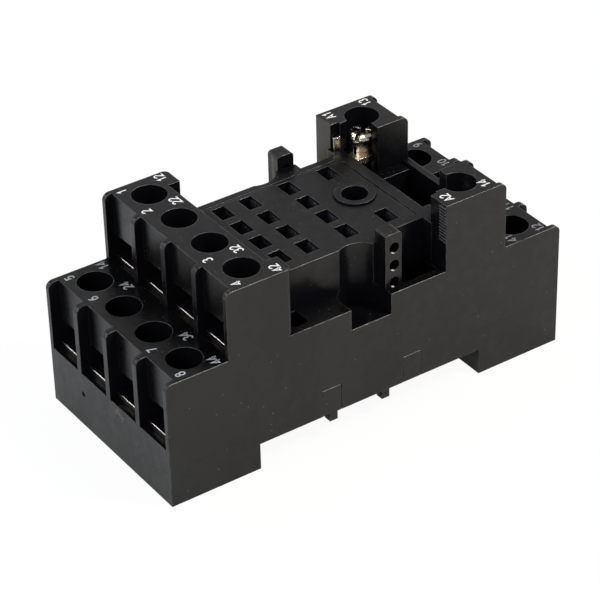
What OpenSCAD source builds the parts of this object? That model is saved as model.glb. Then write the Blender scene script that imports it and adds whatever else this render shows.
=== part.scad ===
// 14-pin relay socket with screw terminals, four changeover poles and a coil.
// Millimetres, +Z up. X runs along the socket, Y across it, Z = 0 is the underside of the rail feet,
// and the origin is the middle of the footprint.

/* [Housing] */
// length over the end ribs
body_l = 63; // [58:0.5:75]
// width across the four terminal bays
body_w = 29.5; // [29:0.1:32]
// height of the upper terminal tier
tier_hi = 29; // [27:0.1:32]
// height of the lower terminal tier and of the side ledges
tier_lo = 18.9; // [17:0.1:20]
// height of the contact platform
plat_z = 25; // [23:0.1:26]
// width of the contact platform
plat_w = 19.8; // [18:0.1:22]
// length of the platform and end strip, from the right end of the socket
plat_back = 18; // [17.6:0.1:18.6]
// width of the pocket for the plug-in coil module
pocket_w = 9.7; // [8:0.1:10.5]
// length of the pocket
pocket_l = 7.6; // [6:0.1:7.6]
// height of the slim pillars beside the platform
pillar_z = 27.1; // [26:0.1:29]
// radius on the top corners of the outer walls and ribs
wall_r = 1; // [0.4:0.1:1.5]

/* [Terminal bays] */
// spacing of the terminals across the socket
bay_pitch = 7.25; // [7:0.05:7.6]
// thickness of the ribs between two bays
rib_t = 0.95; // [0.8:0.05:1.3]
// diameter of the screwdriver holes
driver_d = 4.85; // [4.5:0.05:5.2]
// screw axis of the lower tier, from its own end of the socket
low_axis = 5.3; // [4.8:0.1:6]
// screw axis of the upper tier, from its own end of the socket
high_axis = 14.35; // [14:0.05:15]
// front edge of the upper tier ribs, from its own end of the socket
high_front = 9.4; // [9:0.1:10]
// depth of the lower tier ribs in front of their panel
low_rib = 1.6; // [1:0.1:2]
// depth of the upper tier ribs in front of their panel
high_rib = 1.1; // [0.8:0.1:2]
// height of the wire opening above the terminal strip
wire_gap = 3.4; // [3:0.1:4]

/* [Relay contacts] */
// spacing of the contact slots across the socket
slot_pitch = 4.4; // [4.2:0.1:4.6]
// width of a slot across the socket
slot_w = 3; // [2.6:0.1:3.4]
// narrow part of a slot, along the socket
slot_t = 1.15; // [1:0.05:1.4]
// length of the sloped lead-in beside the slot
lead_l = 0.9; // [0.5:0.1:1.2]
// left edge of the four slot rows
slot_x = [21.9, 26.2, 32.5, 38.9];

/* [Rail] */
// length of the rail recess between the feet
rail_gap = 35.8; // [35.4:0.1:36.4]
// height of the rail recess
rail_h = 3.95; // [3:0.05:5]
// length of the foot at the left end
foot_l = 13.7; // [12:0.1:15]
// diameter of the fixing hole through the middle
fix_d = 3.7; // [3.2:0.1:4.2]
// X position of the fixing hole, from the left end
fix_x = 39.6; // [38:0.1:41]

/* [Clamp screws] */
// thread diameter of the clamp screws
thread_d = 2.9; // [2.5:0.1:3]
// head diameter of the clamp screws
head_d = 4.3; // [4:0.1:4.5]
// head height of the clamp screws
head_h = 1.4; // [1:0.1:1.8]
// side of the square clamping plate
clamp_w = 5.6; // [5:0.1:6]
// thickness of the clamping plate
clamp_t = 1; // [0.8:0.1:1.4]
// clear height between a fully raised clamping plate and its strip
lift = 3.7; // [3:0.1:4]
// how far the clamps other than A1's stand screwed down
half_down = 0.9; // [0:0.1:1.5]

/* [Hidden] */
$fn = 48;

bay_w = bay_pitch - rib_t;
mid_y = body_w / 2;
eps = 0.5;
strip_t = 0.8;
strip_w = 5.8;
run_w = 2.4;
fit = 0.1;
strip_drop = 9.5;
panel_t = 0.8;
cell_top = 4.3;
cell_back = 3.05;
low_run_z = tier_lo - strip_drop - strip_t;
high_run_z = tier_hi - strip_drop - 3.5;
high_back = 17.6;
wall_back = 19.4;
thread_play = 0.05;
washer_h = 1.1;
shank_l = lift + clamp_t + washer_h + strip_t + 0.2;
screw_room = lift + 0.3;
plat_y0 = mid_y - plat_w / 2;
plat_y1 = mid_y + plat_w / 2;
plat_end = body_l - plat_back;
strip_x0 = plat_end - 1.5;
notch_x0 = 28.4;
notch_x1 = 34.8;
notch_z = tier_lo - 3.1;
notch_r = (notch_x1 - notch_x0) / 2 + 0.05;
notch_y = 2;
pillar_l = 2.6;
pillar_x1 = notch_x1 + pillar_l;
pillar_r = 0.5;
end_r = 0.8;
ledge_rim = 1.2;
pillar_y0 = 1.25;
pillar_y1 = 3.6;
tower_x0 = body_l - wall_back + 0.1;
tower_in = mid_y - bay_pitch + 0.35;
tower_mid = body_l - high_axis - 0.15;
tower_wall = 3.4;
tower_step = 3.8;
step_x = plat_end + 0.3;
tower_front = body_l - high_front;
shelf_z = plat_z - 3;
shelf_y = mid_y - pocket_w / 2;
pocket_x1 = plat_end + pocket_l;
pocket_z = 12;
screen_z = shelf_z + 0.5;
tab_x0 = strip_x0 + 0.45;
tab_x1 = plat_end - 0.05;
tab_y1 = body_w - tower_wall - 0.15;
tab_y0 = tab_y1 - 0.4;
tab_z = plat_z + 2;
groove_w = 0.2;
groove_d = 0.3;
groove_in = 1.1;
wall_t = 1.25;
cover_t = 1.2;
cover_seat = rail_h + 0.05 + cover_t;
arm_w = 2.9;
arm_x = [25.15, 38.2];
arm_top = 8;
lug_z = 2.7;
latch_z0 = 0.55;
latch_z1 = 1.6;
latch_w = 10;
latch_root = 1.5;
latch_l = 8.5;
eye_x0 = 3;
eye_x1 = 7.5;
eye_w = 5;
tail_w = 6;
tail_in = 0.4;
pull_x0 = 2;
pull_x1 = 1.2;
pull_w = 3.6;
lug_l = 1.25;
lug_t = 1.2;
cover_lug_x = 24.75;
body_lug_x = 33.2;
foot_x1 = foot_l + rail_gap;

// terminal tables: number i runs 1 to 14
function on_left(i) = i <= 8;
function is_high(i) = i <= 4 || i >= 13;
function bay(i) = i <= 12 ? (i - 1) % 4 : (i - 13) * 3;
function row(i) = i <= 4 ? 0 : i <= 8 ? 1 : i <= 12 ? 2 : 3;
function term_y(i) = mid_y + (1.5 - bay(i)) * bay_pitch;
function slot_y(i) = mid_y + (1.5 - bay(i)) * slot_pitch;
function along(i, d) = on_left(i) ? d : body_l - d;
function axis_d(i) = is_high(i) ? high_axis : low_axis;
function tier_z(i) = is_high(i) ? tier_hi : tier_lo;
function fork_x(i) = slot_x[row(i)] + slot_t / 2;
function fork_d(i) = along(i, fork_x(i));
function front_d(i) = is_high(i) ? high_front : 0;
function panel_d(i) = front_d(i) + (is_high(i) ? high_rib : low_rib);
function run_z(i) = is_high(i) ? high_run_z : low_run_z;
function leg_d(i) = is_high(i) ? high_back : fork_d(i) - 3.8;
function two(i) = i < 10 ? str("0", i) : str(i);
function raised(i) = i == 13 ? lift : lift - half_down;

// a box between two corners
module span(x0, x1, y0, y1, z0, z1) {
    translate([min(x0, x1), min(y0, y1), z0])
        cube([abs(x1 - x0), abs(y1 - y0), z1 - z0]);
}

// the same box written from terminal i's own end of the socket
module cell(i, d0, d1, y0, y1, z0, z1) {
    span(along(i, d0), along(i, d1), y0, y1, z0, z1);
}

// places a child on a terminal's screw axis, at the clamp's underside
module at_screw(i) {
    translate([along(i, axis_d(i)), term_y(i), tier_z(i) - strip_drop + raised(i)])
        children();
}

// both long sides alike
module both_sides() {
    children();
    translate([0, body_w, 0])
        mirror([0, 1, 0])
            children();
}

// places the model on its own origin
module placed() {
    translate([-body_l / 2, -mid_y, 0])
        children();
}

// rounds a top corner across the socket; s is 1 where it faces left, -1 where it faces right
module corner_cut(x, z, s, r) {
    translate([x + s * r, 0, z - r])
        rotate([-90, 0, 0])
            difference() {
                translate([s > 0 ? -r - eps : 0, -r - eps, -eps])
                    cube([r + eps, r + eps, body_w + 2 * eps]);
                translate([0, 0, -2 * eps])
                    cylinder(r = r, h = body_w + 4 * eps);
            }
}

// rounds the upright outer corner at the back of the left tier's side walls
module end_cut() {
    both_sides()
        translate([wall_back - end_r, end_r, tier_lo])
            difference() {
                translate([0, -end_r - eps, 0])
                    cube([end_r + eps, end_r + eps, tier_hi]);
                translate([0, 0, -eps])
                    cylinder(r = end_r, h = tier_hi + 2 * eps);
            }
}

// lower block with the rail feet
module base_block() {
    span(0, body_l, 0, body_w, 0, tier_lo);
}

// upper tier at the left end: full height side walls, shorter middle
module left_tier() {
    span(high_front, high_back, 0, body_w, tier_lo - eps, tier_hi);
    both_sides()
        span(high_front, wall_back, 0, tower_wall, tier_lo - eps, tier_hi);
}

// contact platform with the end strip and the webs to the pillars
module platform() {
    span(high_back - eps, plat_end, plat_y0, plat_y1, tier_lo - eps, plat_z);
    span(strip_x0, plat_end, tower_wall - eps, body_w - tower_wall + eps, tier_lo - eps, plat_z);
    span(plat_end - eps, plat_end + 1.1, tower_wall - eps, tower_in - 0.95, tier_lo - eps, plat_z);
    both_sides()
        span(notch_x1 - 2.2, pillar_x1 + 0.3, pillar_y1 - 0.1, plat_y0 + eps, notch_z, plat_z);
    translate([fix_x, mid_y, plat_z - eps])
        cylinder(d = 5.65, h = eps + 0.25);
}

// slim pillars beside the platform, drilled across
module pillars() {
    difference() {
        both_sides()
            difference() {
                span(notch_x1, pillar_x1, pillar_y0, pillar_y1, tier_lo - eps, pillar_z);
                for (k = [0:2])
                    translate([notch_x1 + pillar_l / 2 + 0.1, 0, plat_z - 0.15 - k * 2.65])
                        rotate([-90, 0, 0])
                            cylinder(d = 1.6, h = 5);
            }
        corner_cut(notch_x1, pillar_z, 1, pillar_r);
        corner_cut(pillar_x1, pillar_z, -1, pillar_r);
    }
}

// two coil towers at the right end, mirror images
module towers() {
    both_sides() {
        span(tower_x0, step_x, 0, tower_wall, tier_lo - eps, tier_hi);
        span(step_x - eps, tower_mid + eps, 0, tower_step, tier_lo - eps, tier_hi);
        span(tower_mid, tower_front, 0, tower_in, tier_lo - eps, tier_hi);
    }
    span(plat_end - eps, tower_front, 0, body_w, tier_lo - eps, shelf_z);
    span(pocket_x1, tower_front, tower_in - eps, body_w - tower_in + eps, tier_lo - eps, screen_z);
}

// bay in front of terminal i: space between the ribs, wire opening, clamp cell and driver hole
module bay_cut(i) {
    y0 = term_y(i) - bay_w / 2;
    y1 = term_y(i) + bay_w / 2;
    z = tier_z(i);
    seat = z - strip_drop - strip_t;
    floor_z = is_high(i) ? tier_lo : seat;
    cell(i, front_d(i) - eps, panel_d(i), y0, y1, floor_z, z + eps);
    cell(i, panel_d(i) - eps, panel_d(i) + panel_t + eps, y0, y1, seat, z - strip_drop + wire_gap);
    cell(i, panel_d(i) + panel_t, axis_d(i) + cell_back, y0, y1, seat, z - cell_top);
    translate([along(i, axis_d(i)), term_y(i), 0]) {
        translate([0, 0, z - cell_top - eps])
            cylinder(d = driver_d, h = cell_top + 2 * eps);
        translate([0, 0, seat - screw_room])
            cylinder(d = thread_d + 0.5, h = screw_room + eps);
    }
}

// hollow that terminal i's strip and fork lie in, and the slot above the fork
module strip_cut(i) {
    ys = slot_y(i);
    yt = term_y(i);
    z = run_z(i);
    cell(i, axis_d(i) + cell_back - eps, leg_d(i) + 0.6 + fit, yt - run_w / 2 - fit, yt + run_w / 2 + fit,
        z, (is_high(i) ? tier_hi - strip_drop : z + strip_t) + fit);
    cell(i, leg_d(i) - fit, leg_d(i) + 2 + fit, min(ys, yt) - run_w / 2 - fit, max(ys, yt) + run_w / 2 + fit,
        z, z + strip_t + fit);
    cell(i, leg_d(i) + 1, fork_d(i) + slot_t / 2, ys - run_w / 2 - fit, ys + run_w / 2 + fit,
        z, z + strip_t + fit);
    slot_cut(fork_x(i), ys, z);
}

// one contact slot with its sloped lead-in on the right
module slot_cut(x, y, z) {
    span(x - slot_t / 2, x + slot_t / 2, y - slot_w / 2, y + slot_w / 2, z, plat_z + eps);
    translate([x + slot_t / 2, y + slot_w / 2, plat_z])
        rotate([90, 0, 0])
            linear_extrude(height = slot_w)
                polygon([[-0.2, 0.5], [-0.2, -1.6], [0, -1.6], [lead_l, -0.3], [lead_l, 0.5]]);
}

// notch in the side wall with the round-backed channel beside the pillar
module side_notch() {
    both_sides() {
        span(notch_x0, notch_x1, -eps, notch_y, notch_z, tier_hi);
        translate([(notch_x0 + notch_x1) / 2, notch_y, notch_z])
            cylinder(r = notch_r, h = tier_hi - notch_z);
    }
}

// rail recess, seat of the base cover and its arm windows
module underside_cut() {
    span(foot_l, foot_x1, -eps, body_w + eps, -eps, rail_h);
    span(foot_l + 0.6, foot_x1 - 0.6, wall_t, body_w - wall_t, rail_h - eps, cover_seat);
    difference() {
        span(foot_l + 1.8, foot_x1 - 1.8, wall_t + 0.8, body_w - wall_t - 0.8, cover_seat - eps, 7.9);
        translate([fix_x, mid_y, 0])
            cylinder(d = 7, h = 10);
    }
    both_sides()
        for (x = arm_x)
            span(x - arm_w / 2 - fit, x + arm_w / 2 + fit, -eps, wall_t + eps / 10, rail_h - eps, arm_top + fit);
    span(foot_x1 - eps, foot_x1 + 1.5, mid_y - latch_w / 2 + 1 - fit, mid_y + latch_w / 2 - 1 + fit,
        latch_z0 - fit / 2, latch_z1 + fit);
    span(foot_x1 + latch_root - fit, foot_x1 + latch_l + 2.3, mid_y - latch_w / 2 - fit, mid_y + latch_w / 2 + fit,
        latch_z0 - fit / 2, latch_z1 + fit);
    span(foot_x1 + latch_l + 2.2, body_l + eps, mid_y - tail_w / 2 - fit, mid_y + tail_w / 2 + fit,
        latch_z0 - fit / 2, latch_z1 + fit);
}

// moulded grooves on the platform and the small well in the side ledge
module surface_cuts() {
    span(high_back, strip_x0 - 1.1, plat_y1 - groove_in - groove_w, plat_y1 - groove_in,
        plat_z - groove_d, plat_z + eps);
    span(strip_x0 - 0.15 - groove_w, strip_x0 - 0.15, plat_y0 + groove_in, plat_y1 - groove_in - 0.9,
        plat_z - groove_d, plat_z + eps);
    both_sides() {
        span(wall_back, wall_back + 3.2, ledge_rim, plat_y0 - 0.55, tier_lo - 1.5, tier_lo + eps);
        span(pillar_x1 + 0.3, tower_x0 - 0.5, ledge_rim, plat_y0, notch_z, tier_lo + eps);
    }
}

module housing() {
    color([0.07, 0.07, 0.075])
        placed()
            difference() {
                union() {
                    base_block();
                    left_tier();
                    platform();
                    pillars();
                    towers();
                    both_sides()
                        span(body_lug_x, body_lug_x + lug_l, 0.02, lug_t, lug_z, rail_h + eps);
                    span(foot_l - eps, foot_l + 1.1, mid_y - 5, mid_y + 5, 0, 1.6);
                }
                for (i = [1:14]) {
                    bay_cut(i);
                    strip_cut(i);
                }
                side_notch();
                span(tab_x0 - fit, tab_x1 + fit, tab_y0 - fit, tab_y1 + fit, high_run_z, tier_hi);
                span(plat_end, pocket_x1, shelf_y, body_w - shelf_y, pocket_z, tier_hi);
                difference() {
                    underside_cut();
                    both_sides()
                        span(body_lug_x, body_lug_x + lug_l, 0.02, lug_t, lug_z, rail_h + eps);
                    span(foot_l - 2 * eps, foot_l + 1.1, mid_y - 5, mid_y + 5, -2 * eps, 1.6);
                }
                surface_cuts();
                translate([fix_x, mid_y, 0])
                    cylinder(d = fix_d, h = tier_hi);
                end_cut();
                corner_cut(0, tier_lo, 1, wall_r);
                corner_cut(body_l, tier_lo, -1, wall_r);
                corner_cut(high_front, tier_hi, 1, wall_r);
                corner_cut(tower_front, tier_hi, -1, wall_r);
            }
}

// plate that closes the underside, with four snap arms and a lug under each left arm
module base_cover() {
    color([0.08, 0.08, 0.085])
        placed()
            difference() {
                union() {
                    span(foot_l + 0.65, foot_x1 - 0.65, wall_t + 0.05, body_w - wall_t - 0.05,
                        rail_h + 0.05, cover_seat);
                    both_sides() {
                        for (x = arm_x) {
                            span(x - arm_w / 2, x + arm_w / 2, 0.02, wall_t - 0.05, rail_h, arm_top);
                            span(x - arm_w / 2, x + arm_w / 2, wall_t - 0.3, wall_t + 0.5, rail_h + 0.05,
                                cover_seat);
                        }
                        span(cover_lug_x, cover_lug_x + lug_l, 0.02, lug_t, lug_z, rail_h + 0.2);
                    }
                }
                translate([fix_x, mid_y, 0])
                    cylinder(d = fix_d, h = 10);
            }
}

// spring-loaded latch that slides in the right foot and grips the rail
module rail_latch() {
    color([0.12, 0.12, 0.12])
        placed()
            difference() {
                union() {
                    span(foot_x1 - 1.1, foot_x1 + 2, mid_y - latch_w / 2 + 1, mid_y + latch_w / 2 - 1,
                        latch_z0, latch_z1);
                    span(foot_x1 + latch_root, foot_x1 + latch_l, mid_y - latch_w / 2, mid_y + latch_w / 2,
                        latch_z0, latch_z1);
                    span(foot_x1 + latch_l - eps, body_l - tail_in, mid_y - tail_w / 2, mid_y + tail_w / 2,
                        latch_z0, latch_z1);
                }
                span(foot_x1 + eye_x0, foot_x1 + eye_x1, mid_y - eye_w / 2, mid_y + eye_w / 2, 0, rail_h);
                span(body_l - pull_x0, body_l - pull_x1, mid_y - pull_w / 2, mid_y + pull_w / 2, 0, rail_h);
            }
}

// brass pressing: threaded terminal plate, run, and the fork that takes the relay's blade
module contact_strip(i) {
    ys = slot_y(i);
    yt = term_y(i);
    z = run_z(i);
    seat = tier_z(i) - strip_drop - strip_t;
    plate_back = axis_d(i) + 2.95;
    color([0.8, 0.66, 0.42])
        placed()
            difference() {
                union() {
                    cell(i, front_d(i) + 1.15, plate_back, yt - strip_w / 2, yt + strip_w / 2,
                        seat, seat + strip_t);
                    if (is_high(i))
                        cell(i, plate_back - 0.1, leg_d(i) + 0.6, yt - run_w / 2, yt + run_w / 2,
                            z, seat + strip_t);
                    cell(i, plate_back - 0.1, leg_d(i) + 1, yt - run_w / 2, yt + run_w / 2, z, z + strip_t);
                    cell(i, leg_d(i), leg_d(i) + 2, min(ys, yt) - run_w / 2, max(ys, yt) + run_w / 2,
                        z, z + strip_t);
                    cell(i, leg_d(i) + 1, fork_d(i) + slot_t / 2 - fit, ys - run_w / 2, ys + run_w / 2,
                        z, z + strip_t);
                    for (s = [-1, 1])
                        span(fork_x(i) + s * 0.25, fork_x(i) + s * 0.5, ys - run_w / 2, ys + run_w / 2,
                            z, plat_z - 2.2);
                    if (i == 13)
                        span(tab_x0, tab_x1, tab_y0, tab_y1, z + fit, tab_z);
                }
                translate([along(i, axis_d(i)), yt, seat - eps])
                    cylinder(d = thread_d + 2 * thread_play, h = strip_t + 2 * eps);
            }
}

// square plate that clamps the wire
module clamp_plate(i) {
    color([0.86, 0.76, 0.56])
        placed()
            at_screw(i)
                difference() {
                    translate([-clamp_w / 2, -clamp_w / 2, 0])
                        cube([clamp_w, clamp_w, clamp_t]);
                    translate([0, 0, -eps])
                        cylinder(d = thread_d + 2 * thread_play, h = clamp_t + 2 * eps);
                    for (s = [-1, 1])
                        translate([s * (clamp_w / 2 - 0.9) - 0.25, -clamp_w / 2 - eps, -0.01])
                            cube([0.5, clamp_w + 2 * eps, 0.26]);
                }
}

// split spring washer held under the head
module spring_washer(i) {
    color([0.8, 0.78, 0.72])
        placed()
            at_screw(i)
                translate([0, 0, clamp_t])
                    difference() {
                        cylinder(d = head_d - 0.4, h = washer_h);
                        translate([0, 0, -eps])
                            cylinder(d = thread_d + 2 * thread_play, h = washer_h + 2 * eps);
                        rotate([0, 0, 205])
                            translate([0, -0.2, -eps])
                                cube([head_d, 0.4, washer_h + 2 * eps]);
                    }
}

// pan head screw with a driver slot and a cross recess
module screw(i) {
    color([0.88, 0.84, 0.74])
        placed()
            at_screw(i)
                translate([0, 0, clamp_t + washer_h]) {
                    difference() {
                        rotate_extrude()
                            polygon([[0, 0], [head_d / 2, 0], [head_d / 2, head_h - 0.5],
                                [head_d / 2 - 0.2, head_h - 0.18], [head_d / 2 - 0.7, head_h], [0, head_h]]);
                        rotate([0, 0, 35]) {
                            translate([-head_d, -0.35, head_h - 0.75])
                                cube([2 * head_d, 0.7, 2]);
                            translate([-0.4, -1.45, head_h - 0.95])
                                cube([0.8, 2.9, 2]);
                        }
                    }
                    translate([0, 0, -shank_l])
                        cylinder(d = thread_d, h = shank_l + 0.1);
                }
}

housing();
base_cover();
rail_latch();
for (i = [1:14]) {
    contact_strip(i);
    clamp_plate(i);
    spring_washer(i);
    screw(i);
}
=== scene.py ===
import math

import bpy
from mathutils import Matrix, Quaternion, Vector


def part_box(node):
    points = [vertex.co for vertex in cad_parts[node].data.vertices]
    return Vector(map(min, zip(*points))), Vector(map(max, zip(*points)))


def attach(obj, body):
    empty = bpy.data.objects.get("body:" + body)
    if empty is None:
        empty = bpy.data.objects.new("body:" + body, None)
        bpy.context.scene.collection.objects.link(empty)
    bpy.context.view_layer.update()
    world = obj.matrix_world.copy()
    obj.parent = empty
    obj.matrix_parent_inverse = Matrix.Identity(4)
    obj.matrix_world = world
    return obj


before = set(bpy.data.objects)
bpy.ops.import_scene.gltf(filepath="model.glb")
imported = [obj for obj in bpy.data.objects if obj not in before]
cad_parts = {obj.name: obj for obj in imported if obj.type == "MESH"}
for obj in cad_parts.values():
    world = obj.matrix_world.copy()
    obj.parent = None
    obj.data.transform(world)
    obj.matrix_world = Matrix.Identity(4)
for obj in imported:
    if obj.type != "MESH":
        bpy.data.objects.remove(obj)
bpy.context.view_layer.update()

MM = 0.001
LOW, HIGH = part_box("housing")
TERMINALS = range(1, 15)
COIL_TOP = 13  # the raised coil terminal's number
LOWER_TIER = LOW.z + 18.9 * MM
NUMERAL_TALL = 1.36 * MM
HALF_STROKE = 0.74  # in tenths of a numeral's height
INK_THICK = 0.03 * MM
INK_SUNK = 0.012 * MM
ACROSS = (2.7, 3.9, -3.3, -2.6)  # shifts of the four numbers of a row, in millimetres towards the far side


# ---------------------------------------------------------------- camera, floor and light

def aim_camera():
    """A long lens, up and to the left of the near side."""
    place = Vector((-0.16677, -0.24637, 0.21199))
    target = Vector((-0.003382, -0.003369, 0.0145))
    lens = bpy.data.cameras.new("camera")
    lens.lens = 159.7
    lens.sensor_width = 36
    camera = bpy.data.objects.new("camera", lens)
    camera.location = place
    camera.rotation_mode = "QUATERNION"
    roll = Quaternion((0, 0, 1), math.radians(-1.478))
    camera.rotation_quaternion = (target - place).to_track_quat("-Z", "Y") @ roll
    bpy.context.scene.collection.objects.link(camera)
    bpy.context.scene.camera = camera


def area_light(name, place, aim, size, power, colour=(1, 1, 1)):
    """One soft square lamp."""
    lamp = bpy.data.lights.new(name, "AREA")
    lamp.shape = "SQUARE"
    lamp.size = size
    lamp.energy = power
    lamp.color = colour
    holder = bpy.data.objects.new(name, lamp)
    holder.location = place
    holder.rotation_euler = (Vector(aim) - Vector(place)).to_track_quat("-Z", "Y").to_euler()
    bpy.context.scene.collection.objects.link(holder)


# ---------------------------------------------------------------- material tools

class Value:
    """A number in a material. Arithmetic on it adds Math nodes."""

    def __init__(self, finish, socket):
        self.finish = finish
        self.socket = socket

    def calc(self, operation, *values):
        return self.finish.node("ShaderNodeMath", {"operation": operation}, dict(enumerate(values)))

    def __add__(self, other):
        return self.calc("ADD", self, other)

    def __sub__(self, other):
        return self.calc("SUBTRACT", self, other)

    def __rsub__(self, other):
        return self.calc("SUBTRACT", other, self)

    def __mul__(self, other):
        return self.calc("MULTIPLY", self, other)

    __radd__ = __add__
    __rmul__ = __mul__


class Finish:
    """One material, and the calls that add its nodes."""

    def __init__(self, name):
        self.material = bpy.data.materials.new(name)
        self.setup(self.material)

    def setup(self, holder):
        holder.use_nodes = True
        self.tree = holder.node_tree
        self.tree.nodes.clear()

    def node(self, kind, settings=None, sockets=None, output=0):
        """Adds a node: its settings first, then the values or links of its sockets."""
        made = self.tree.nodes.new(kind)
        for key, value in (settings or {}).items():
            setattr(made, key, value)
        for key, value in (sockets or {}).items():
            if isinstance(value, Value):
                self.tree.links.new(value.socket, made.inputs[key])
            else:
                made.inputs[key].default_value = value
        return Value(self, made.outputs[output]) if made.outputs else made

    def place(self):
        """Object coordinates, in metres."""
        return self.node("ShaderNodeTexCoord", output="Object")

    def facing(self):
        """The surface's own direction, in the piece's axes."""
        return self.node("ShaderNodeTexCoord", output="Normal")

    def axis(self, vector, name):
        return self.node("ShaderNodeSeparateXYZ", None, {0: vector}, output=name)

    def stretched(self, scale):
        return self.node("ShaderNodeMapping", None, {"Vector": self.place(), "Scale": scale})

    def noise(self, size, detail=2.0, roughness=0.5, vector=None):
        """Soft noise with cells about `size` millimetres across."""
        return self.node("ShaderNodeTexNoise", None, {
            "Vector": vector or self.place(), "Scale": 1 / (size * MM),
            "Detail": detail, "Roughness": roughness})

    def step(self, value, low, high, to_low=0.0, to_high=1.0):
        return self.node("ShaderNodeMapRange", {"interpolation_type": "SMOOTHSTEP"}, {
            "Value": value, "From Min": low, "From Max": high, "To Min": to_low, "To Max": to_high})

    def mix(self, factor, first, second):
        """Blends two colours; each is a link or three numbers."""
        first, second = ((*c, 1) if isinstance(c, tuple) else c for c in (first, second))
        return self.node("ShaderNodeMix", {"data_type": "RGBA"}, {0: factor, 6: first, 7: second}, output=2)

    def rounded(self, radius):
        """The surface direction with its sharp edges rounded to `radius` millimetres."""
        return self.node("ShaderNodeBevel", {"samples": 6}, {"Radius": radius * MM})

    def open_to(self, reach, own=True):
        """1 in the open and on outer edges, less within `reach` millimetres of a facing wall: its own, or any."""
        settings = {"samples": 8, "only_local": own}
        return self.node("ShaderNodeAmbientOcclusion", settings, {"Distance": reach * MM}, output="AO")

    def along(self, first, second):
        settings = {"operation": "DOT_PRODUCT"}
        return self.node("ShaderNodeVectorMath", settings, {0: first, 1: second}, output=1)

    def edges(self, soft):
        """How close a point is to a sharp outer edge, from the rounded direction."""
        true = self.node("ShaderNodeNewGeometry", output="True Normal")
        return self.step(1 - self.along(soft, true), 0.0, 0.2) * self.step(self.open_to(0.35), 0.82, 0.97)

    def depth(self, reach, low, high):
        """1 deep in a bore or bay of the housing, 0 in the open: the weight of painted shade on metal parts."""
        return self.step(self.open_to(reach, own=False), low, high, 1.0, 0.0)

    def distance(self, first, second):
        settings = {"operation": "DISTANCE"}
        return self.node("ShaderNodeVectorMath", settings, {0: first, 1: second}, output="Value")

    def spot(self, centre, radius):
        """1 at a point, falling to 0 `radius` metres from it."""
        away = self.distance(self.place(), centre)
        return self.step(away, radius, radius * 0.5)

    def off_axis(self, centre):
        """Distance in metres from an upright axis."""
        flat = self.node("ShaderNodeVectorMath", {"operation": "MULTIPLY"}, {0: self.place(), 1: (1, 1, 0)})
        return self.distance(flat, (centre.x, centre.y, 0))

    def bump(self, height, distance, normal, strength=1.0):
        return self.node("ShaderNodeBump", None, {
            "Height": height, "Distance": distance * MM, "Strength": strength, "Normal": normal})

    def specks(self, spacing, radius, share):
        """Sparse round specks: one in each of a share of the cells."""
        cell = {"Vector": self.place(), "Scale": 1 / (spacing * MM)}
        near = self.node("ShaderNodeTexVoronoi", None, cell, output="Distance")
        pick = self.axis(self.node("ShaderNodeTexVoronoi", None, cell, output="Color"), "X")
        size = radius / spacing
        return self.step(near, size, size * 0.4) * self.step(pick, 1 - share, 1 - share + 0.02)

    def surface(self, shade, **sockets):
        """Ends the material in a Principled shader, under a dull black painted shade where `shade` is 1."""
        named = {key.replace("_", " ").title().replace("Ior", "IOR"): value for key, value in sockets.items()}
        named = {key: (*value, 1) if isinstance(value, tuple) else value for key, value in named.items()}
        shader = self.node("ShaderNodeBsdfPrincipled", None, named)
        dull = self.node("ShaderNodeBsdfPrincipled", None, {
            "Base Color": (0.0050, 0.0050, 0.0070, 1), "Roughness": 1.0, "Specular IOR Level": 0.0})
        both = self.node("ShaderNodeMixShader", None, {0: shade, 1: shader, 2: dull})
        self.node("ShaderNodeOutputMaterial", None, {"Surface": both})
        return self


# ---------------------------------------------------------------- finishes

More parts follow.
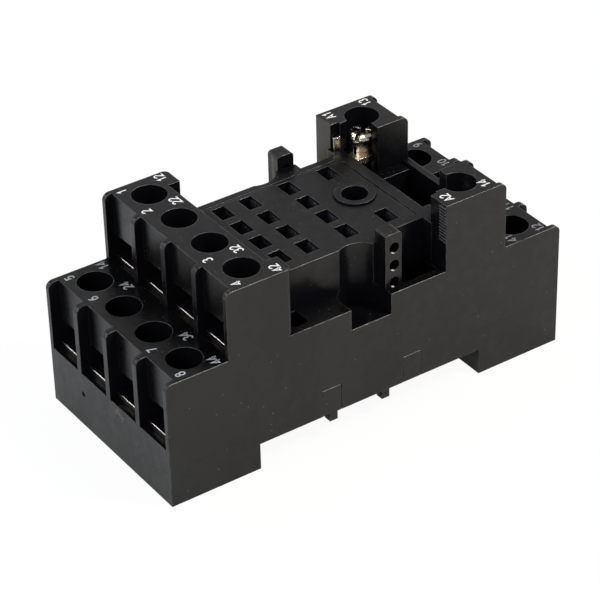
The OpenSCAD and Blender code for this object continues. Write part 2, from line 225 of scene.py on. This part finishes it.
def moulded_plastic(name, dark, light, roughness, grain, marked=False):
    """Black thermoplastic: fine grain, mottling, dust, paler rubbed edges with painted edge highlights, glossy
    recesses, and painted shade that makes hollows, corners, grooves and bores dull black.
    """
    f = Finish(name)
    soft = f.rounded(0.16)
    edge = f.edges(soft)
    flow = f.noise(9, 3, 0.55, f.stretched((1, 1, 0.35)))
    cloud = f.noise(1.6, 5, 0.65)
    speckle = f.noise(0.22, 2, 0.6)
    up = f.step(f.axis(f.facing(), "Z"), 0.5, 0.9)
    colour = f.mix(f.step(flow * 0.35 + cloud * 0.3 + speckle * 0.35, 0.40, 0.60), dark, light)
    # Rubbed outer edges: paler wear together with a painted edge highlight.
    scuff_and_highlight = edge * f.step(f.noise(1.1, 5, 0.75), 0.36, 0.62)
    colour = f.mix(scuff_and_highlight * 0.75, colour, (0.15, 0.145, 0.135))
    # Painted highlight along the near upper edges.
    near_top = f.step(f.along(soft, (0, -0.7, 0.71)), 0.86, 0.97)
    near_edge_highlight = edge * near_top * f.step(f.noise(2.5, 4, 0.7), 0.30, 0.50)
    colour = f.mix(near_edge_highlight, colour, (0.42, 0.41, 0.39))
    dust = f.specks(1.2, 0.10, 0.5) + f.specks(0.7, 0.09, 0.7) * up
    colour = f.mix(dust * 0.7, colour, (0.22, 0.22, 0.22))
    lead_in = f.step(f.axis(f.facing(), "X") * -1, 0.5, 0.6) * f.step(f.axis(f.facing(), "Z"), 0.45, 0.55)
    crumbs = f.noise(0.28, 4, 0.75)
    # Crumbly texture on the slots' lead-in slopes, with a painted sheen in its pale bluish tone.
    colour = f.mix(lead_in * f.step(crumbs, 0.44, 0.60) * 0.8, colour, (0.085, 0.09, 0.11))
    # Painted shade: dull black mixed in deep in hollows, in corners and in grooves, less on edges and on the
    # slots' lead-in slopes.
    wide = f.open_to(11)
    recess = f.step(wide, 0.92, 0.7) * f.step(wide, 0.42, 0.52)
    corner = f.step(f.open_to(3), 0.42, 0.88, 0.9, 0.0)
    groove = f.step(f.open_to(0.55), 0.25, 0.72, 0.85, 0.0)
    shade = (f.step(wide, 0.25, 0.75, 1.0, 0.0) + corner + groove) * (1 - lead_in * 0.30) * (1 - edge * 0.7)
    # More painted shade on recess walls that face the near side. The last term is random mottling of the gloss.
    near = f.step(f.axis(f.facing(), "Y") * -1, 0.6, 0.8)
    shade = shade + recess * near * 0.35 + f.step(flow * 0.5 + cloud * 0.5, 0.42, 0.58, 0.0, 0.16)
    rough = roughness + (f.noise(3.5, 4, 0.6) - 0.5) * 0.16 + dust * 0.3 - edge * 0.06 - recess * 0.19
    height = f.noise(0.11, 2, 0.6) * grain + f.noise(5.5, 1) * 0.9 + crumbs * lead_in * 5.0
    if marked:
        pit, torn, ring, hole_glints = moulding_marks(f, crumbs)
        # The torn patch and the ejector ring are coloured marks. The pale spots in the pillar's holes are painted
        # glints.
        colour = f.mix(torn, colour, (0.085, 0.075, 0.065))
        colour = f.mix(ring * 0.6, colour, (0.05, 0.05, 0.05))
        colour = f.mix(hole_glints, colour, (0.8, 0.8, 0.78))
        # Painted shade: dull black in the pit and in the raised coil terminal's bore, none on the hole glints.
        bore = f.step(f.off_axis(axis_of(COIL_TOP)), 2.75 * MM, 2.5 * MM) * (1 - up)
        shade = shade * (1 - hole_glints) + pit * 0.95 + bore * 0.85
        height = height + torn * 4.0
    return f.surface(shade, base_color=colour, roughness=rough, normal=f.bump(height, 0.035, soft), ior=1.44)


def moulding_marks(f, crumbs):
    """A pit, a torn patch and an ejector mark on the left end, and painted glints in the near pillar's holes."""
    end = LOW.x
    pit = f.spot((end, 6.7 * MM, LOW.z + 5.3 * MM), 0.5 * MM)
    torn = f.spot((end, -2.8 * MM, LOW.z + 7.6 * MM), 1.4 * MM) * f.step(crumbs, 0.44, 0.54)
    pin = (end, -7.1 * MM, LOW.z + 5.0 * MM)
    ring = f.spot(pin, 1.0 * MM) - f.spot(pin, 0.8 * MM)
    holes = [f.spot((4.5 * MM, LOW.y + 1.35 * MM, LOW.z + z * MM), 0.36 * MM) for z in (24.05, 21.4, 18.75)]
    return pit, torn, ring, (holes[0] + holes[1] + holes[2]) * f.step(f.axis(f.facing(), "Z"), 0.6, 0.8)


def plated_steel(name, tint, roughness, turned=False, ridged=None):
    """Nickel plate: fine scratches, small stains, brighter rubbed edges, pressed rings about `ridged` with
    painted shade in their grooves, and painted shade deep in the housing's bays.
    """
    f = Finish(name)
    soft = f.rounded(0.12)
    edge = f.edges(soft)
    stain = f.step(f.noise(0.9, 4, 0.65), 0.52, 0.75)
    colour = f.mix(stain * 0.55, tint, tuple(c * 0.55 for c in tint))
    colour = f.mix(edge * 0.5, colour, tuple(min(1, c * 1.15) for c in tint))
    brush = f.noise(0.12, 3, 0.6, f.stretched((0.15, 1, 1) if not turned else (1, 1, 0.2)))
    rough = roughness + stain * 0.2 + brush * 0.1
    height = brush * 0.15 + f.noise(0.7, 2) * 2.0
    if ridged:
        rings = (f.off_axis(ridged) * (2 * math.pi / (0.62 * MM))).calc("SINE")
        height = height + rings * 1.2
        # Painted shade in the rings' grooves.
        colour = f.mix(f.step(rings, 0.2, -0.6), colour, tuple(c * 0.12 for c in tint))
    # Painted shade: dull black deep in the housing's bays, kept off the edges.
    shade = f.depth(5, 0.05, 0.45) * (1 - edge * 0.95)
    relief = f.bump(height, 0.04, soft)
    return f.surface(shade, base_color=colour, metallic=1.0, roughness=rough, normal=relief)


def plated_brass(name):
    """Rolled brass under thin nickel: warm where the plate is thin, with a painted highlight on the edges and
    painted shade deep in the housing's bays.
    """
    f = Finish(name)
    soft = f.rounded(0.17)
    edge = f.edges(soft)
    thin = f.step(f.noise(1.6, 4, 0.6), 0.42, 0.72)
    colour = f.mix(thin, (0.60, 0.54, 0.44), (0.46, 0.34, 0.20))
    # Painted highlight: pale silver on the edges.
    colour = f.mix(edge, colour, (0.95, 0.93, 0.88))
    grain = f.noise(0.15, 3, 0.6, f.stretched((0.1, 1, 1)))
    rough = 0.16 + thin * 0.14 + grain * 0.06
    across = f.axis(f.facing(), "X")
    # Painted shade: dull black deep in the housing's bays, less on the edges and on faces that face along X.
    shade = f.depth(6, 0.35, 0.9) * (1 - edge * 0.9) * (1 - f.step(across * across, 0.5, 0.8) * 0.3)
    relief = f.bump(grain, 0.005, soft)
    return f.surface(shade, base_color=colour, metallic=1.0, roughness=rough, normal=relief)


def printing_ink(name, white, wear):
    """Pad-printed ink that has rubbed thin in places."""
    f = Finish(name)
    worn = f.step(f.noise(0.35, 4, 0.7), 0.62 - wear, 0.78 - wear)
    colour = f.mix(worn * 0.8, white, (0.06, 0.06, 0.06))
    relief = f.bump(f.noise(0.12), 0.004, f.rounded(0.02))
    return f.surface(0.0, base_color=colour, roughness=0.55 + worn * 0.1, normal=relief)


def studio_floor():
    """A pale floor that is white to the view, in part to what is mirrored, and keeps the socket's soft shadow."""
    f = Finish("pale_floor")
    camera, glossy, clear = (
        f.node("ShaderNodeLightPath", output=f"Is {ray} Ray") for ray in ("Camera", "Glossy", "Transmission"))
    seen = camera * 0.92 + (glossy + clear) * 0.2
    left = f.step(f.axis(f.place(), "X"), LOW.x * 0.6, LOW.x * 1.2)
    pale = f.mix(left, (0.89, 0.86, 0.81), (0.86, 0.88, 0.92))
    matt = f.node("ShaderNodeBsdfDiffuse", None, {"Color": pale})
    white = f.node("ShaderNodeEmission", None, {"Color": (1, 1, 1, 1), "Strength": 1.02})
    both = f.node("ShaderNodeMixShader", None, {0: seen, 1: matt, 2: white})
    f.node("ShaderNodeOutputMaterial", None, {"Surface": both})
    mesh = bpy.data.meshes.new("floor")
    s, z = 1.5, LOW.z - 0.01 * MM
    mesh.from_pydata([(-s, -s, z), (s, -s, z), (s, s, z), (-s, s, z)], [], [(0, 1, 2, 3)])
    mesh.materials.append(f.material)
    floor = bpy.data.objects.new("floor", mesh)
    bpy.context.scene.collection.objects.link(floor)


class Sky(Finish):
    """The world's own node tree."""

    def __init__(self):
        world = bpy.data.worlds.new("studio")
        bpy.context.scene.world = world
        self.setup(world)


def studio_world():
    """White at the horizon, grey overhead."""
    f = Sky()
    height = f.axis(f.node("ShaderNodeTexCoord", output="Generated"), "Z")
    shade = f.step(height, 0.12, 0.60, 1.0, 0.27)
    light = f.node("ShaderNodeBackground", None, {"Color": (1, 1, 1, 1), "Strength": shade})
    f.node("ShaderNodeOutputWorld", None, {"Surface": light})


# ---------------------------------------------------------------- pieces

def piece(name, mesh, finish, body):
    """Puts a finished mesh in the scene, on its body."""
    mesh.materials.clear()
    mesh.materials.append(finish.material)
    made = bpy.data.objects.new(name, mesh)
    bpy.context.scene.collection.objects.link(made)
    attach(made, body)
    return made


def plain_mesh(holder):
    """The mesh that an object with modifiers or text gives, with the object removed."""
    graph = bpy.context.evaluated_depsgraph_get()
    mesh = bpy.data.meshes.new_from_object(holder.evaluated_get(graph))
    bpy.data.objects.remove(holder)
    return mesh


def bow(x, y, wide, tall, start, end, steps=12):
    """Points on an ellipse about (x, y), from one angle to another, in degrees."""
    turns = [math.radians(start + (end - start) * i / steps) for i in range(steps + 1)]
    return [(x + wide * math.cos(t), y + tall * math.sin(t)) for t in turns]


# each numeral as pen strokes in a box 6 wide and 10 tall
SIX = [bow(3.0, 3.1, 2.3, 2.7, 0, 360, 16), bow(5.3, 3.3, 4.6, 6.3, 178, 102, 8)]
STROKES = {
    "0": [bow(3.0, 5.0, 2.4, 4.6, 0, 360, 16)],
    "1": [[(1.3, 7.2), (3.6, 9.6), (3.6, 0.3)]],
    "2": [bow(3.0, 7.1, 2.2, 2.5, 165, -25) + [(0.7, 0.5), (5.5, 0.5)]],
    "3": [bow(2.9, 7.2, 2.1, 2.3, 155, -80), bow(2.9, 2.9, 2.4, 2.6, 80, -155)],
    "4": [[(4.2, 0.3), (4.2, 9.5), (0.5, 2.9), (5.8, 2.9)]],
    "5": [[(5.1, 9.3), (1.3, 9.3), (0.9, 5.0)] + bow(2.9, 3.3, 2.4, 2.9, 125, -150)],
    "6": SIX,
    "7": [[(0.6, 9.3), (5.4, 9.3), (2.2, 0.3)]],
    "8": [bow(3.0, 7.3, 2.0, 2.2, 0, 360, 16), bow(3.0, 2.8, 2.4, 2.6, 0, 360, 16)],
    "9": [[(6 - x, 10 - y) for x, y in line] for line in SIX],
    "A": [[(0.3, 0.3), (3.0, 9.5), (5.7, 0.3)], [(1.3, 3.3), (4.7, 3.3)]],
}


def ribbon(line):
    """A pen stroke's left and right side, mitred at its bends, closed if it ends where it starts."""
    points = [Vector(p) for p in line]
    closed = (points[0] - points[-1]).length < 1e-6
    if closed:
        points.pop()
    sides = []
    for i, point in enumerate(points):
        back = points[i] - points[i - 1] if closed or i else points[1] - points[0]
        ahead = points[(i + 1) % len(points)] - point if closed or i < len(points) - 1 else back
        along = (back.normalized() + ahead.normalized()).normalized()
        across = Vector((-along.y, along.x))
        reach = HALF_STROKE / max(0.45, across.dot(Vector((-ahead.y, ahead.x)).normalized()))
        sides.append((point + across * reach, point - across * reach))
    return sides, closed


def glyphs(text):
    """A word's strokes as closed slabs one unit thick, centred: points and faces."""
    size = NUMERAL_TALL / 10
    middle = (len(text) * 6.5 - 0.5) / 2
    points, faces = [], []
    for place, sign in enumerate(text):
        for layer, line in enumerate(STROKES[sign]):
            sides, closed = ribbon(line)
            start, count = len(points), len(sides)
            for left, right in sides:
                corners = [(p.x + place * 6.5 - middle, p.y - 5) for p in (left, right)]
                for (x, y), z in zip(corners + corners[::-1], (0, 0, 1 + 0.1 * layer, 1 + 0.1 * layer)):
                    points.append((x * size, y * size, z))
            for i in range(count if closed else count - 1):
                a, b = start + 4 * i, start + 4 * ((i + 1) % count)
                faces += [(a + k, a + (k + 1) % 4, b + (k + 1) % 4, b + k) for k in range(4)]
            if not closed:
                last = start + 4 * (count - 1)
                faces += [(start + 3, start + 2, start + 1, start), (last, last + 1, last + 2, last + 3)]
    return points, faces


def axis_of(number):
    low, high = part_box(f"screw_{number:02d}")
    return (low + high) / 2


def print_numbers(name, rows, tier_z, finish):
    """One tier's printed numbers. A row is its terminals, its texts, and its shifts from the screw axes."""
    points, faces = [], []
    for screws, texts, along, across in rows:
        for screw, text, dx, dy in zip(screws, texts, along, across):
            glyph, cells = glyphs(text)
            start = len(points)
            centre = axis_of(screw)
            for right, up, lift in glyph:
                height = tier_z + lift * INK_THICK - INK_SUNK
                points.append((centre.x + dx * MM - up, centre.y + dy * MM + right, height))
            faces += [tuple(start + i for i in cell) for cell in cells]
    mesh = bpy.data.meshes.new(name)
    mesh.from_pydata(points, [], faces)
    piece(name, mesh, finish, "socket")


def ridge_tree(material):
    """Geometry Nodes: a stack of short round ridges, one above the other."""
    tree = bpy.data.node_groups.new("ridges", "GeometryNodeTree")
    for name, kind, low in [("Count", "NodeSocketInt", 12), ("Pitch", "NodeSocketFloat", 0.0005),
                            ("Length", "NodeSocketFloat", 0.001), ("Radius", "NodeSocketFloat", 0.0001)]:
        tree.interface.new_socket(name, in_out="INPUT", socket_type=kind).default_value = low
    tree.interface.new_socket("Start", in_out="INPUT", socket_type="NodeSocketVector")
    tree.interface.new_socket("Geometry", in_out="OUTPUT", socket_type="NodeSocketGeometry")

    def add(kind, settings=None, sockets=None):
        made = tree.nodes.new(kind)
        for key, value in (settings or {}).items():
            setattr(made, key, value)
        for key, value in (sockets or {}).items():
            if isinstance(value, bpy.types.NodeSocket):
                tree.links.new(value, made.inputs[key])
            else:
                made.inputs[key].default_value = value
        return made

    given = add("NodeGroupInput").outputs
    climb = add("ShaderNodeCombineXYZ", None, {"Z": given["Pitch"]}).outputs[0]
    line = add("GeometryNodeMeshLine", {"mode": "OFFSET"}, {
        "Count": given["Count"], "Start Location": given["Start"], "Offset": climb}).outputs[0]
    bar = add("GeometryNodeMeshCylinder", None, {
        "Vertices": 12, "Radius": given["Radius"], "Depth": given["Length"]}).outputs[0]
    placed = add("GeometryNodeInstanceOnPoints", None, {
        "Points": line, "Instance": bar, "Rotation": (math.pi / 2, 0, 0)}).outputs[0]
    real = add("GeometryNodeRealizeInstances", None, {"Geometry": placed}).outputs[0]
    coated = add("GeometryNodeSetMaterial", None, {"Geometry": real, "Material": material}).outputs[0]
    add("NodeGroupOutput", None, {"Geometry": coated})
    return tree


def grown(tree, **values):
    """The plain mesh that a Geometry Nodes tree makes from these inputs."""
    holder = bpy.data.objects.new("growing", bpy.data.meshes.new("growing"))
    bpy.context.scene.collection.objects.link(holder)
    maker = holder.modifiers.new("maker", "NODES")
    maker.node_group = tree
    for item in tree.interface.items_tree:
        if item.in_out == "INPUT" and item.name in values:
            maker[item.identifier] = values[item.name]
    return plain_mesh(holder)


def grip_ridges(finish):
    """Fine ridges on the near coil tower's inner corner, for the hold-down clip."""
    tree = ridge_tree(finish.material)
    start = (HIGH.x - 19.3 * MM, LOW.y + 0.75 * MM, HIGH.z - 5.6 * MM)
    mesh = grown(tree, Count=12, Pitch=0.46 * MM, Length=1.3 * MM, Radius=0.16 * MM, Start=start)
    piece("grip_ridges", mesh, finish, "socket")


def dress(node, finish):
    """Gives a CAD node its finish."""
    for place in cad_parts[node].material_slots:
        place.material = finish.material


# ---------------------------------------------------------------- the socket

aim_camera()
studio_floor()
studio_world()
area_light("key", (0.28, -0.30, 0.48), (0, 0, 0.01), 0.11, 2.2, (1.0, 0.98, 0.95))
area_light("left", (-0.50, -0.10, 0.34), (0, 0, 0.01), 0.34, 1.2, (0.96, 0.98, 1.0))
area_light("back", (0.05, 0.30, 0.60), (0, 0.06, 0), 0.30, 0.9)
area_light("rim", (-0.36, 0.43, 0.30), (0, 0, 0.01), 0.22, 0.6)

housing_black = moulded_plastic(
    "moulded_black", (0.0006, 0.0006, 0.0006), (0.0050, 0.0048, 0.0046), 0.31, 0.35, marked=True)
cover_black = moulded_plastic("cover_black", (0.0030, 0.0030, 0.0030), (0.0055, 0.0054, 0.0053), 0.38, 0.5)
latch_black = moulded_plastic("latch_black", (0.0050, 0.0050, 0.0050), (0.0075, 0.0074, 0.0073), 0.30, 0.25)
strip_brass = plated_brass("strip_brass")
clamp_plate = plated_steel("clamp_plate", (0.70, 0.62, 0.50), 0.20)
raised_plate = plated_steel("raised_plate", (0.78, 0.68, 0.54), 0.18, ridged=axis_of(COIL_TOP))
washer_steel = plated_steel("washer_steel", (0.70, 0.60, 0.47), 0.20)
screw_nickel = plated_steel("screw_nickel", (0.90, 0.80, 0.66), 0.10, turned=True)
# The ridges' black is paler and bluer than the housing's: a painted highlight on the ridges.
ridge_black_painted_highlight = moulded_plastic("ridge_black_painted_highlight", (0.020, 0.021, 0.026), (0.050, 0.052, 0.060), 0.22, 0.1)
# The lower tiers' numbers get greyer inks than the upper tier's, and the right tier's are the greyest.
ink_upper = printing_ink("ink_upper", (0.80, 0.81, 0.82), 0.02)
ink_left = printing_ink("ink_left", (0.38, 0.40, 0.44), 0.06)
ink_right = printing_ink("ink_right", (0.27, 0.28, 0.30), 0.12)

dress("housing", housing_black)
dress("base_cover", cover_black)
dress("rail_latch", latch_black)
for number in TERMINALS:
    dress(f"contact_strip_{number:02d}", strip_brass)
    dress(f"clamp_plate_{number:02d}", clamp_plate)
    dress(f"spring_washer_{number:02d}", washer_steel)
    dress(f"screw_{number:02d}", screw_nickel)
dress(f"clamp_plate_{COIL_TOP}", raised_plate)

print_numbers("numbers_upper", [
    (range(1, 5), ("1", "2", "3", "4"), (-2.5,) * 4, ACROSS),
    (range(1, 5), ("12", "22", "32", "42"), (3.4, 1.9, 1.9, 3.4), ACROSS),
    ((13, 14), ("A1", "A2"), (-3.6,) * 2, (2.7, -2.1)),
    ((13, 14), ("13", "14"), (2.5,) * 2, (2.7, -2.2)),
], HIGH.z, ink_upper)
print_numbers("numbers_left", [
    (range(5, 9), ("5", "6", "7", "8"), (-2.3,) * 4, ACROSS),
    (range(5, 9), ("14", "24", "34", "44"), (2.8,) * 4, ACROSS),
], LOWER_TIER, ink_left)
print_numbers("numbers_right", [
    (range(9, 13), ("9", "10", "11", "12"), (2.6,) * 4, ACROSS),
    (range(9, 13), ("11", "21", "31", "41"), (-2.2,) * 4, ACROSS),
], LOWER_TIER, ink_right)
grip_ridges(ridge_black_painted_highlight)

bpy.context.scene.view_settings.view_transform = "Standard"
